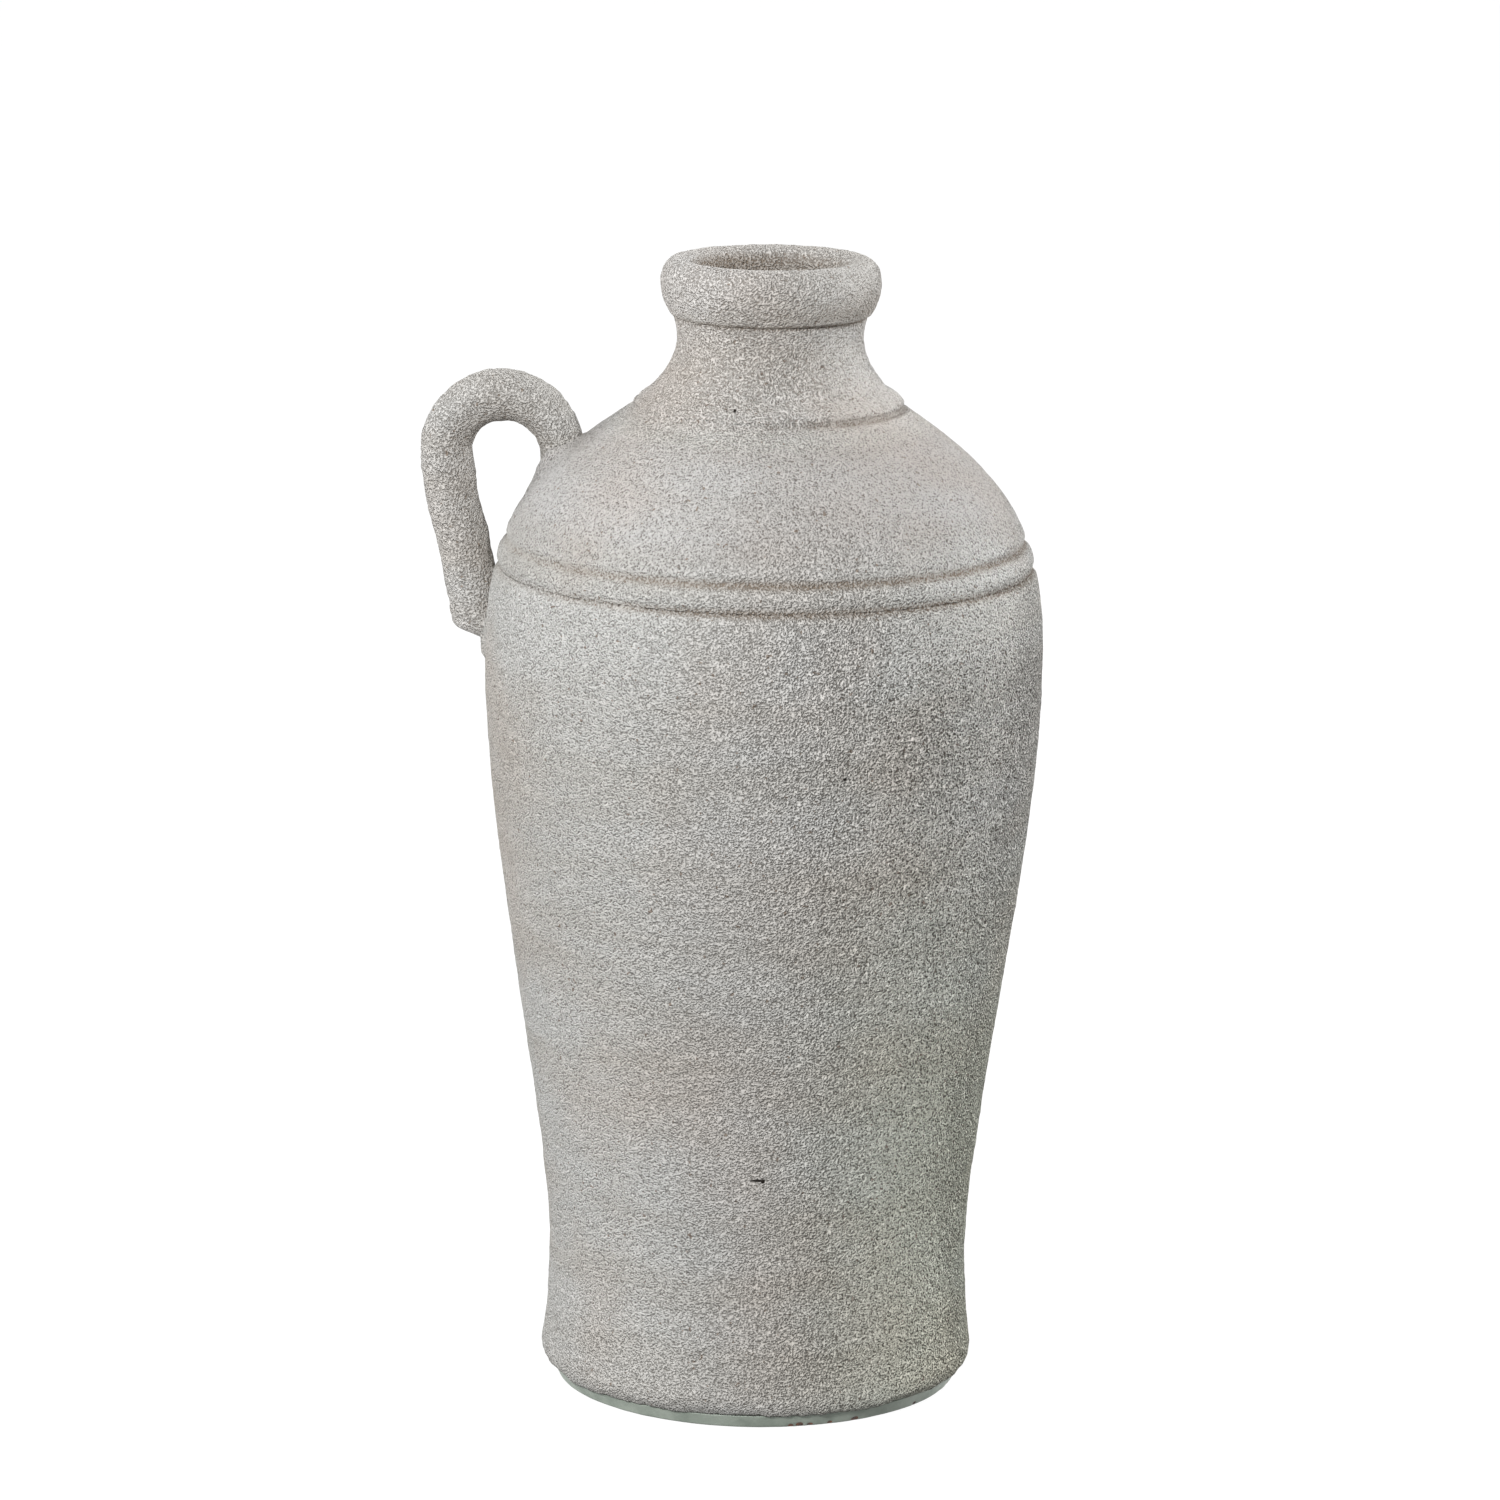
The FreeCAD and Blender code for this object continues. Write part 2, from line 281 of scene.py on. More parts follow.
# %% [markdown]
# ## The handle's line
#
# The potter rolled a coil, sank one end into the shoulder, looped it over and pressed the other end on
# to the wall, and then smeared clay round both ends to hold it. The wall needs to know where the coil
# is for that clay, so the coil's centre line comes first: points joined by short Bezier curves.

# %% Centre line of the coil
loop_radius, loop_rise = 20.9 * mm, 20.0 * mm
root_radius = belly_radius - 25.95 * mm
root_sink = 8.0 * mm
tip_z, tip_stand_off = belly_z + 1.5 * mm, 2.4 * mm
leg_bends = ((0.24, 0.16), (0.46, 0.45), (0.69, 0.7), (1, 1))


def outer_radius(z):
    """The radius of the body's outer line at some heights."""
    return np.interp(z, body_line[:, 1], body_line[:, 0])


def smooth_through(points, count=12):
    """A smooth line through all the points."""
    points = np.array(points, float)
    padded = np.vstack([2 * points[0] - points[1], points, 2 * points[-1] - points[-2]])
    runs = []
    for before, start, end, after in zip(padded, padded[1:], padded[2:], padded[3:]):
        runs.append(bezier([start, start + (end - before) / 6, end - (after - start) / 6, end], count)[:-1])
    return np.vstack(runs + [points[-1:]])


dome_line = body_line[body_line[:, 1] > belly_z]
root_z = np.interp(-root_radius, -dome_line[:, 0], dome_line[:, 1])
tip = np.array((outer_radius(tip_z) + tip_stand_off, tip_z))
arch_foot = np.array((root_radius + 2 * loop_radius, root_z))
arch = [(root_radius + loop_radius * (1 - math.cos(turn)), root_z + loop_rise * math.sin(turn))
        for turn in np.linspace(0, math.pi, 13)]
leg = [arch_foot + (tip - arch_foot) * (across, up) for up, across in leg_bends]
coil_line = smooth_through([(root_radius, root_z - root_sink)] + arch + leg)
print("coil line:", len(coil_line), "points, top at", round(coil_line[:, 1].max(), 4))

# %% Ovals along the coil
coil_spacing = 0.6 * mm
root_half_thick, full_half_thick = 7.4 * mm, 9.3 * mm
root_half_wide, full_half_wide = 9.5 * mm, 10.25 * mm
thin_share = 0.3
tip_round = 8.5 * mm
tip_slant, slant_length = 7.0 * mm, 15.0 * mm


def coil_rings():
    """Centre, direction, half sizes and slant of each oval, from the root to the blunt tip."""
    run = np.append(0, np.cumsum(np.linalg.norm(np.diff(coil_line, axis=0), axis=1)))
    places = np.linspace(0, run[-1], round(run[-1] / coil_spacing))
    centre = np.stack([np.interp(places, run, column) for column in coil_line.T], axis=1)
    along = np.gradient(centre, axis=0)
    along /= np.linalg.norm(along, axis=1)[:, None]
    fullness = np.clip(places / run[-1] / thin_share, 0, 1)
    half_thick = root_half_thick + (full_half_thick - root_half_thick) * fullness
    half_wide = root_half_wide + (full_half_wide - root_half_wide) * fullness
    to_tip = run[-1] - places
    inset = tip_round * (1 - np.sqrt(1 - (1 - np.clip(to_tip / tip_round, 0, 1)) ** 2))
    slant = tip_slant * np.clip(1 - to_tip / slant_length, 0, 1) ** 1.5
    return centre, along, half_thick - inset, half_wide - inset, slant


centre, along, half_thick, half_wide, slant = coil_rings()
print("coil:", len(centre), "ovals")

# %% Clay smeared round the coil's ends
low_smear, low_smear_reach = 2.2 * mm, 4.5 * mm
high_smear, high_smear_reach = 4.6 * mm, 9.0 * mm
low_smear_top, low_fade = 15 * mm, 10 * mm
high_smear_foot, high_fade = 26 * mm, 14 * mm
side_fade = 8 * mm


def distance_to_coil(points):
    """How far some points are outside the coil's surface."""
    closest = np.full(len(points), 1.0)
    for (radius, z), thick, wide in zip(centre, half_thick, half_wide):
        share = np.hypot(np.hypot(-points[:, 0] - radius, points[:, 2] - z) / thick, points[:, 1] / wide)
        closest = np.minimum(closest, (share - 1) * thick)
    return np.maximum(closest, 0)


def rising(distance, length):
    """0 before the start, rising evenly to 1 at the length."""
    return np.clip(distance / length, 0, 1)


def smear_height(points):
    """How far the clay that holds the coil stands out of the wall at some points."""
    height = np.zeros(len(points))
    near = np.flatnonzero((points[:, 0] < -0.4 * belly_radius) & (np.abs(points[:, 1]) < 22 * mm)
                          & (points[:, 2] > tip_z - 25 * mm))
    past_root, z = -points[near, 0] - root_radius, points[near, 2]
    gap = distance_to_coil(points[near])
    low_end = rising(tip_z + low_smear_top - z, low_fade)
    high_end = rising(z - root_z + high_smear_foot, high_fade) * rising(past_root + side_fade, side_fade)
    high_end *= 1 - 0.6 * rising(past_root, side_fade)
    height[near] = (low_smear * low_end * (1 - rising(gap, low_smear_reach)) ** 2
                    + high_smear * high_end * (1 - rising(gap, high_smear_reach)) ** 2)
    return height


print(f"clay smeared up to {high_smear / mm:.1f} mm thick at the root, {low_smear / mm:.1f} mm at the tip")

# %% [markdown]
# ## Turning a ring
#
# Each ring is one closed outline turned round the axis: up the outer face, in over the V joint, down
# the hollow and out over the lower V joint. Blender's Screw modifier turns outlines too, but here the
# outer face must be lifted along its own normals, so the grid of points is worked out with numpy.

# %% Cutting the outer line
def normals_of(line):
    """The outward normal at each point of an outline that is drawn upwards."""
    along = np.gradient(line, axis=0)
    normal = np.stack([along[:, 1], -along[:, 0]], axis=1)
    return normal / np.linalg.norm(normal, axis=1)[:, None]


def cut(line, spacing, low_z=None, high_z=None):
    """Evenly spaced points and normals of an outline between two heights."""
    keep = np.append(True, np.linalg.norm(np.diff(line, axis=0), axis=1) > 0.001 * mm)
    line = line[keep]
    run = np.append(0, np.cumsum(np.linalg.norm(np.diff(line, axis=0), axis=1)))
    start = 0 if low_z is None else np.interp(low_z, line[:, 1], run)
    end = run[-1] if high_z is None else np.interp(high_z, line[:, 1], run)
    places = np.linspace(start, end, max(2, round((end - start) / spacing) + 1))
    normals = normals_of(line)
    points = np.stack([np.interp(places, run, column) for column in line.T], axis=1)
    leans = np.stack([np.interp(places, run, column) for column in normals.T], axis=1)
    return points, leans / np.linalg.norm(leans, axis=1)[:, None]


print("body line:", len(cut(body_line, mm)[0]), "points at 1 mm")

# %% Inner side of a ring
joint_half_width, joint_depth = 1.6 * mm, 2.4 * mm


def hollow_between(high_z, low_z):
    """Points of the inner line, downwards between two heights."""
    heights = hollow_line[::-1, 1]
    radii = hollow_line[::-1, 0]
    inside = hollow_line[(hollow_line[:, 1] < high_z - mm) & (hollow_line[:, 1] > low_z + mm)]
    top = (np.interp(high_z, heights, radii), high_z)
    bottom = (np.interp(low_z, heights, radii), low_z)
    return np.vstack([top, inside, bottom])


def v_joint(outer, inner):
    """The V between two rings, from the outer edge to the inner one."""
    middle = (np.array(outer) + inner) / 2
    half_width = np.array((joint_half_width, 0))
    return np.array([middle + half_width, middle - (0, joint_depth), middle - half_width])


print(f"V joints {2 * joint_half_width / mm:.1f} mm wide and {joint_depth / mm:.1f} mm deep")

# %% A new piece from points and faces
fine_grit, middling_grit, coarse_grit = 0.6, 0.7, 0.85
lip_grit, handle_grit = 0.8, 0.75


def add_piece(name, points, faces, dirt_and_shade, grit):
    """A new smooth object from points and faces, with its dirt and the coarseness of its grit."""
    mesh = bpy.data.meshes.new(name)
    mesh.from_pydata(points.tolist(), [], faces)
    mesh.shade_smooth()
    mesh.attributes.new("dirt_and_shade", "FLOAT", "POINT").data.foreach_set("value", dirt_and_shade.astype(np.float32))
    mesh.attributes.new("grit", "FLOAT", "POINT").data.foreach_set("value", grit.astype(np.float32))
    piece = bpy.data.objects.new(name, mesh)
    bpy.context.scene.collection.objects.link(piece)
    print(name, len(points), "points")
    return piece


def grid_faces(columns, *corners):
    """Faces from the row and the column of each corner, on a grid of points that goes round."""
    return np.stack([row * columns + column % columns for row, column in corners], axis=-1)


def fan_faces(middle, ring, next_ring):
    """Three-cornered faces from a middle point to each two neighbours on a ring."""
    return np.stack([np.full(len(ring), middle), ring, next_ring], axis=1)


def in_turn(*corners):
    """The values of the corners of many faces, face after face."""
    return np.stack(corners, axis=-1).reshape(-1)


def bake_map(mesh, u, v):
    """A UV map named OFBake, from a place on the unit square for each face corner."""
    layer = mesh.uv_layers.new(name="OFBake")
    layer.data.foreach_set("uv", in_turn(u, v))


# %% Turning a closed outline
lean_start_z, lean_run, lean_shift = 330 * mm, 45 * mm, 0.9 * mm


def off_axis(z):
    """How far the neck and the lip were set off the axis by the potter's hand."""
    share = np.clip((z - lean_start_z) / lean_run, 0, 1)
    return lean_shift * share * share * (3 - 2 * share)


def turn_ring(name, skin, leans, inner, columns, marks, roughness=1.0, grit=((0, middling_grit),)):
    """A ring of the jug: its skin is lifted by the coat and the tool marks, the inner points aren't.

    The grit is a list of heights with the coarseness at each.
    """
    outline = np.vstack([skin, inner])
    angle = np.linspace(0, 2 * math.pi, columns, endpoint=False)
    around = np.stack([np.cos(angle), np.sin(angle)], axis=1)
    radius = np.tile(outline[:, :1], (1, columns))
    z = np.tile(outline[:, 1:], (1, columns))
    rows = len(skin)
    skin_points = np.stack([radius * around[:, 0], radius * around[:, 1], z], axis=2)[:rows].reshape(-1, 3)
    lift = (coat_height(skin_points, roughness) + smear_height(skin_points)).reshape(rows, columns)
    mark, skin_dirt_and_shade = marks(angle[None, :], radius[:rows], z[:rows])
    lift = lift + mark
    dirt_and_shade = np.zeros(radius.shape)
    dirt_and_shade[:rows] = skin_dirt_and_shade
    radius[:rows] += lift * leans[:, :1]
    z[:rows] += lift * leans[:, 1:]
    points = np.stack([radius * around[:, 0] + off_axis(z), radius * around[:, 1], z], axis=2).reshape(-1, 3)
    coarse = np.interp(points[:, 2], [place for place, _ in grit], [value for _, value in grit])
    i, j = np.meshgrid(np.arange(len(outline)), np.arange(columns), indexing="ij")
    next_i = (i + 1) % len(outline)
    faces = grid_faces(columns, (i, j), (i, j + 1), (next_i, j + 1), (next_i, j)).reshape(-1, 4)
    piece = add_piece(name, points, faces.tolist(), dirt_and_shade.reshape(-1), coarse)
    share = np.append(np.linspace(0, 0.85, rows), np.linspace(0.86, 1, len(inner) + 1))
    bake_map(piece.data, in_turn(j, j + 1, j + 1, j) / columns,
             in_turn(share[i], share[i], share[i + 1], share[i + 1]))
    return piece


# %% Body wall
body_spacing, shoulder_spacing, neck_spacing = 1.0 * mm, 0.8 * mm, 0.6 * mm
body_columns, neck_columns = 620, 400
skin, leans = cut(body_line, body_spacing, high_z=body_joint_z)
hollow = hollow_between(body_joint_z, band_z)
inner = np.vstack([v_joint(skin[-1], hollow[0]), hollow])


def wall_marks(angle, radius, z):
    """The lower groove, and the ragged lower edge of the coat."""
    groove, groove_darkening = shoulder_marks(angle, radius, z)
    rim = np.column_stack([np.cos(angle[0]), np.sin(angle[0]), np.zeros(angle.shape[1])]) * band_radius
    ragged = 0.5 * mm * soft_noise(rim, 9 * mm, 31) + 0.35 * mm * soft_noise(rim, 3 * mm, 32)
    return groove + ragged * hump(z - band_z, 3.5 * mm), groove_darkening


wall_skin = turn_ring("thrown_body_wall", skin, leans, inner, body_columns, wall_marks)

# %% Shoulder
skin, leans = cut(body_line, shoulder_spacing, low_z=body_joint_z)
hollow = hollow_between(seam_z, body_joint_z)
inner = np.vstack([v_joint(skin[-1], hollow[0]), hollow, v_joint(skin[0], hollow[-1])[::-1]])
shoulder_grit = ((300 * mm, middling_grit), (325 * mm, fine_grit), (seam_z - 9 * mm, fine_grit),
                 (seam_z, coarse_grit))


def dome_marks(angle, radius, z):
    """Grooves at the shoulder's lower edge and the seam at its upper one."""
    groove, groove_darkening = shoulder_marks(angle, radius, z)
    seam, seam_shadow = seam_marks(angle, radius, z)
    return groove + seam, np.maximum(groove_darkening, seam_shadow)


shoulder_skin = turn_ring("grooved_shoulder", skin, leans, inner, body_columns, dome_marks,
                          grit=shoulder_grit)

# %% Neck
skin, leans = cut(neck_line, neck_spacing)
hollow = hollow_between(lip_z, seam_z)
inner = np.vstack([v_joint(skin[-1], hollow[0]), hollow,
                   v_joint((shoulder_top_radius, seam_z), hollow[-1])[::-1]])


def neck_marks(angle, radius, z):
    """The seam at the neck's foot and the crease under the lip."""
    seam, seam_shadow = seam_marks(angle, radius, z)
    crease, lip_shade_and_brown = lip_marks(angle, radius, z)
    return seam + crease, np.maximum(seam_shadow, lip_shade_and_brown)


neck_skin = turn_ring("flared_neck", skin, leans, inner, neck_columns, neck_marks,
                      roughness=1.15, grit=((0, coarse_grit),))

# %% Lip
skin, leans = cut(lip_line, neck_spacing)
inner = v_joint((neck_top_radius, lip_z), skin[-1])[::-1]
lip_skin = turn_ring("rolled_lip", skin, leans, inner, neck_columns, lip_marks,
                     roughness=1.1, grit=((0, lip_grit),))

# %% [markdown]
# ## The handle
#
# A curve object with a bevel would give a plain tube, but this coil thins at its root and ends in a
# rounded tip that is cut at a slant. So ovals are set along its line one by one and joined into a mesh,
# and near the tip their outer sides are pulled back up the coil. Where the coil would come out inside
# the hollow, its points are pushed back into the thickness of the wall.

# %% Points of the coil
coil_columns = 104
coil_roughness = 2.0
buried = 2.4 * mm
# Brown painted shade on the coil's inner side.
inner_shade = 0.38


def coil_points():
    """The coil's ovals with their coat, as rows of points, and how much brown painted shade each point gets.
    """
    turn = np.linspace(0, 2 * math.pi, coil_columns, endpoint=False)
    side = np.stack([along[:, 1], -along[:, 0]], axis=1)
    coil_r = centre[:, :1] + side[:, :1] * half_thick[:, None] * np.cos(turn)
    coil_z = centre[:, 1:] + side[:, 1:] * half_thick[:, None] * np.cos(turn)
    coil_y = half_wide[:, None] * np.sin(turn)
    lean_r = side[:, :1] * np.cos(turn) / half_thick[:, None]
    lean_z = side[:, 1:] * np.cos(turn) / half_thick[:, None]
    lean_y = np.sin(turn) / half_wide[:, None]
    length = np.sqrt(lean_r ** 2 + lean_z ** 2 + lean_y ** 2)
    points = np.stack([-coil_r, coil_y, coil_z], axis=2)
    leans = np.stack([-lean_r / length, lean_y / length, lean_z / length], axis=2)
    pulled_up = slant[:, None] * (1 - np.cos(turn)) / 2
    points[:, :, 0] += along[:, :1] * pulled_up
    points[:, :, 2] -= along[:, 1:] * pulled_up
    coat = coat_height(points.reshape(-1, 3), coil_roughness)
    points += leans * coat.reshape(coil_r.shape)[:, :, None]
    spread = np.hypot(points[:, :, 0], points[:, :, 1])
    depth = outer_radius(points[:, :, 2]) - buried - spread
    points[:, :, :2] *= np.where(depth > 0, 1 + depth / spread, 1)[:, :, None]
    # Painted shade on the coil's inner side, fading out towards its outer side.
    brown = np.tile(inner_shade * np.clip(0.25 + np.cos(turn), 0, 1), (len(points), 1))
    return points, brown


rings, brown = coil_points()
print("coil:", rings.shape[0], "rings of", rings.shape[1], "points")

# %% Coil mesh
def coil_piece(points, brown):
    """The coil closed with a fan at each end, and its UV map."""
    rows, columns = brown.shape
    i, j = (grid.reshape(-1) for grid in np.meshgrid(np.arange(rows - 1), np.arange(columns), indexing="ij"))
    ring = np.arange(columns)
    tip_ring = ring + (rows - 1) * columns
    quads = grid_faces(columns, (i, j), (i + 1, j), (i + 1, j + 1), (i, j + 1))
    root_fan = fan_faces(rows * columns, ring, np.roll(ring, -1))
    tip_fan = fan_faces(rows * columns + 1, np.roll(tip_ring, -1), tip_ring)
    everything = np.vstack([points.reshape(-1, 3), points[0].mean(axis=0), points[-1].mean(axis=0)])
    piece = add_piece("looped_handle", everything, quads.tolist() + root_fan.tolist() + tip_fan.tolist(),
                      np.append(brown, (0, 0)), np.full(len(everything), handle_grit))
    u = np.concatenate([in_turn(j, j, j + 1, j + 1), in_turn(ring + 0.5, ring, ring + 1),
                        in_turn(ring + 0.5, ring + 1, ring)]) / columns
    share = np.linspace(0.02, 0.98, rows)
    low, high = np.zeros(columns), np.ones(columns)
    v = np.concatenate([in_turn(share[i], share[i + 1], share[i + 1], share[i]),
                        in_turn(low, low + 0.02, low + 0.02), in_turn(high, high - 0.02, high - 0.02)])
    bake_map(piece.data, u, v)
    return piece


handle_skin = coil_piece(rings, brown)

# %% [markdown]
# ## The foot
#
# The floor of the jug was wiped clean of sand before the firing, so its bevelled edge is smooth bare
# clay, chipped in a few places where the red-brown body shows. It is a low disc, turned as the rings
# are, with its outline closed along the axis. Each chip is a shallow dent that is also marked as dirt.

# %% Outline of the foot slab and its chips
slab_columns = 720
hub_radius = 8 * mm
edge_width = 2 * mm
slab_outline = np.vstack([
    bezier([(hub_radius, 0), (standing_radius - edge_width, 0)], 10),
    bezier([(standing_radius - 1.2 * mm, 0), (standing_radius, 0),
            (standing_radius + 0.3 * mm, 0.9 * mm)], 6),
    bezier([(standing_radius + 0.4 * mm, 1.2 * mm), (band_radius, band_z)], 12),
    [(waist_radius - wall, band_z), (waist_radius - wall, slab_top_z)],
    bezier([(waist_radius - wall - 2 * mm, slab_top_z), (hub_radius, slab_top_z)], 10),
])
chip_angles = [math.radians(angle) for angle in (-72, -69.5, -66.5, -60.5, -52.8, -30.3, -9)]
chip_heights = [height * mm for height in (0.7, 0.9, 0.6, 0.8, 0.9, 1.0, 0.8)]
chip_sizes = [size * mm for size in (1.6, 2.2, 1.8, 1.3, 2.3, 1.6, 1.5)]
chip_depth = 0.5 * mm


def chips(angle, z):
    """How much of the band's skin is chipped off."""
    chipped = np.zeros(np.broadcast(angle, z).shape)
    for middle, height, size in zip(chip_angles, chip_heights, chip_sizes):
        away = np.hypot((angle - middle) * band_radius, (z - height) * 1.6)
        chipped = np.maximum(chipped, hump(away, size))
    return chipped


print("slab outline:", len(slab_outline), "points, with", len(chip_angles), "chips")

# %% Foot slab
def slab_piece():
    """The slab as a disc: its edge waves a little and has chips, and both its faces close on the axis."""
    angle = np.linspace(-math.pi, math.pi, slab_columns, endpoint=False)
    around = np.stack([np.cos(angle), np.sin(angle)], axis=1)
    rows = len(slab_outline)
    radius = np.tile(slab_outline[:, :1], (1, slab_columns))
    z = np.tile(slab_outline[:, 1:], (1, slab_columns))
    edge = np.clip((slab_outline[:, :1] - (standing_radius - edge_width)) / edge_width, 0, 1)
    rim = np.column_stack([around * band_radius, np.zeros(slab_columns)])
    wave = 0.25 * mm * soft_noise(rim, 16 * mm, 21) + 0.12 * mm * soft_noise(rim, 4 * mm, 22)
    broken = chips(angle[None, :], z) * edge
    radius = radius + edge * wave - chip_depth * broken
    points = np.stack([radius * around[:, 0], radius * around[:, 1], z], axis=2).reshape(-1, 3)
    points = np.vstack([points, (0, 0, 0), (0, 0, slab_top_z)])
    ring = np.arange(slab_columns)
    next_ring = np.roll(ring, -1)
    top = (rows - 1) * slab_columns
    i, j = (grid.reshape(-1) for grid in np.meshgrid(np.arange(rows - 1), ring, indexing="ij"))
    quads = grid_faces(slab_columns, (i, j), (i, j + 1), (i + 1, j + 1), (i + 1, j))
    under_fan = fan_faces(rows * slab_columns, next_ring, ring)
    top_fan = fan_faces(rows * slab_columns + 1, top + ring, top + next_ring)
    piece = add_piece("bare_foot_slab", points, quads.tolist() + under_fan.tolist() + top_fan.tolist(),
                      np.append(broken, (0, 0)), np.zeros(len(points)))
    u = np.concatenate([in_turn(j, j + 1, j + 1, j), in_turn(ring + 0.5, ring + 1, ring),
                        in_turn(ring + 0.5, ring, ring + 1)]) / slab_columns
    share = np.interp(np.arange(rows), (0, 9, 27, rows - 1), (0.05, 0.3, 0.7, 0.95))
    low, high = np.zeros(slab_columns), np.ones(slab_columns)
    v = np.concatenate([in_turn(share[i], share[i], share[i + 1], share[i + 1]),
                        in_turn(low, low + 0.05, low + 0.05), in_turn(high, high - 0.05, high - 0.05)])
    bake_map(piece.data, u, v)
    return piece


slab_skin = slab_piece()

# %% [markdown]
# ## Materials
#
# The coat is one material: pale greige sand whose grains catch the light. Noise for the grains drives
# both the bump and the colour, so that pits are darker, as dust and shadow make them. The pieces say on
# their points how coarse the grit is and where brown marks and painted shade lie. The side low on the
# right has a coarser bump, painted shade that darkens it with darker pits and brighter crests, and a
# painted green reflection; shares that grow along X and Z mix that in. The bare clay of the foot is a
# second, smoother material.

# %% Nodes and colour ramps
def new_material(name):
    """A material made of nodes, with its node tree and its main shader."""
    material = bpy.data.materials.new(name)
    material.use_nodes = True
    return material, material.node_tree, material.node_tree.nodes["Principled BSDF"]


def add_node(tree, kind, inputs=None, **settings):
    """A shader node with its settings and its input values."""
    node = tree.nodes.new(kind)
    for name, value in settings.items():
        setattr(node, name, value)
    for name, value in (inputs or {}).items():
        node.inputs[name].default_value = value
    return node


def ramp(tree, source, stops):
    """A colour ramp on a value, from (place, colour) stops."""
    node = add_node(tree, "ShaderNodeValToRGB")
    while len(node.color_ramp.elements) < len(stops):
        node.color_ramp.elements.new(0.5)
    for element, (place, colour) in zip(node.color_ramp.elements, stops):
        element.position = place
        element.color = (*colour, 1)
    tree.links.new(source, node.inputs["Fac"])
    return node.outputs["Color"]


# %% Sums and mixtures
def feed(tree, socket, value):
    """Put a number, a colour or another node's output into a socket."""
    if isinstance(value, (int, float)):
        socket.default_value = value
    elif isinstance(value, tuple):
        socket.default_value = (*value, 1)
    else:
        tree.links.new(value, socket)


def maths(tree, first, second, operation="ADD", third=None):
    """Two or three values through a maths node."""
    node = add_node(tree, "ShaderNodeMath", operation=operation)
    for socket, value in zip(node.inputs, (first, second, third)):
        if value is not None:
            feed(tree, socket, value)
    return node.outputs[0]


def blended(tree, share, first, second, kind="MIX"):
    """Two colours mixed by a share."""
    node = add_node(tree, "ShaderNodeMix", data_type="RGBA", blend_type=kind)
    for socket, value in ((node.inputs[0], share), (node.inputs[6], first), (node.inputs[7], second)):
        feed(tree, socket, value)
    return node.outputs[2]


# %% Noise and steps
def noise_of(tree, place, scale, detail=2.0, roughness=0.5):
    """Noise over the place, as a value from 0 to 1."""
    node = add_node(tree, "ShaderNodeTexNoise", {"Scale": scale, "Detail": detail, "Roughness": roughness})
    tree.links.new(place, node.inputs["Vector"])
    return node.outputs["Fac"]


def stepped(tree, value, low, high):
    """A value from 0 to 1 that rises steeply between low and high and is flat outside them."""
    node = add_node(tree, "ShaderNodeMapRange", {"From Min": low, "From Max": high},
                    interpolation_type="SMOOTHSTEP")
    tree.links.new(value, node.inputs["Value"])
    return node.outputs["Result"]


# %% Places on the jug for the materials
def value_of(tree, name):
    """A value that the pieces keep on their points."""
    return add_node(tree, "ShaderNodeAttribute", attribute_name=name).outputs["Fac"]


def low_right(tree, axes, x_rise, z_rise):
    """A share that rises from 0 to 1 towards the right of the jug and down towards its foot."""
    across = stepped(tree, axes.outputs["X"], *x_rise)
    down = stepped(tree, axes.outputs["Z"], *z_rise)
    return maths(tree, across, down, "MULTIPLY")


def spot(tree, place, middle, sizes):
    """1 inside a small oval mark at a place on the jug, falling to 0 at its edge."""
    away = add_node(tree, "ShaderNodeVectorMath", operation="SUBTRACT")
    tree.links.new(place, away.inputs[0])
    away.inputs[1].default_value = [value * mm for value in middle]
    scaled = add_node(tree, "ShaderNodeVectorMath", operation="DIVIDE")
    tree.links.new(away.outputs[0], scaled.inputs[0])
    scaled.inputs[1].default_value = [value * mm for value in sizes]
    length = add_node(tree, "ShaderNodeVectorMath", operation="LENGTH")
    tree.links.new(scaled.outputs[0], length.inputs[0])
    return stepped(tree, length.outputs["Value"], 1.0, 0.6)


# %% Grains and holes of the sand
grain_scale, clump_scale, lump_scale, speck_scale = 1420, 480, 230, 640
hole_places = (
    ((10.9, -79.0, 93.1), (3.0, 1.5, 0.55)),
    ((12.7, -78.6, 92.9), (0.9, 1.5, 1.0)),
    ((41.1, -89.8, 241.1), (0.65, 1.5, 0.65)),
    ((-5.2, -43.4, 360.5), (0.65, 1.5, 0.7)),
)


def sand_grains(tree, place):
    """Noise of three sizes, for grains, clumps and lumps, and the few holes with their places in mm."""
    grains = stepped(tree, noise_of(tree, place, grain_scale, 1), 0.3, 0.62)
    clumps = stepped(tree, noise_of(tree, place, clump_scale, 1), 0.34, 0.66)
    lumps = noise_of(tree, place, lump_scale, 1)
    holes = 0.0
    for middle, sizes in hole_places:
        holes = maths(tree, holes, spot(tree, place, middle, sizes), "MAXIMUM")
    return grains, clumps, lumps, holes


print("holes in the coat:", len(hole_places))

# %% Colours of the sand, each from pit to crest
fine_sand = [(0.0, (0.19, 0.174, 0.16)), (0.41, (0.485, 0.474, 0.463)), (1.0, (0.605, 0.594, 0.582))]
middling_sand = [(0.0, (0.27, 0.26, 0.243)), (0.5, (0.545, 0.54, 0.52)), (1.0, (0.66, 0.655, 0.635))]
coarse_sand = [(0.0, (0.31, 0.283, 0.256)), (0.44, (0.60, 0.582, 0.56)), (1.0, (0.72, 0.707, 0.687))]
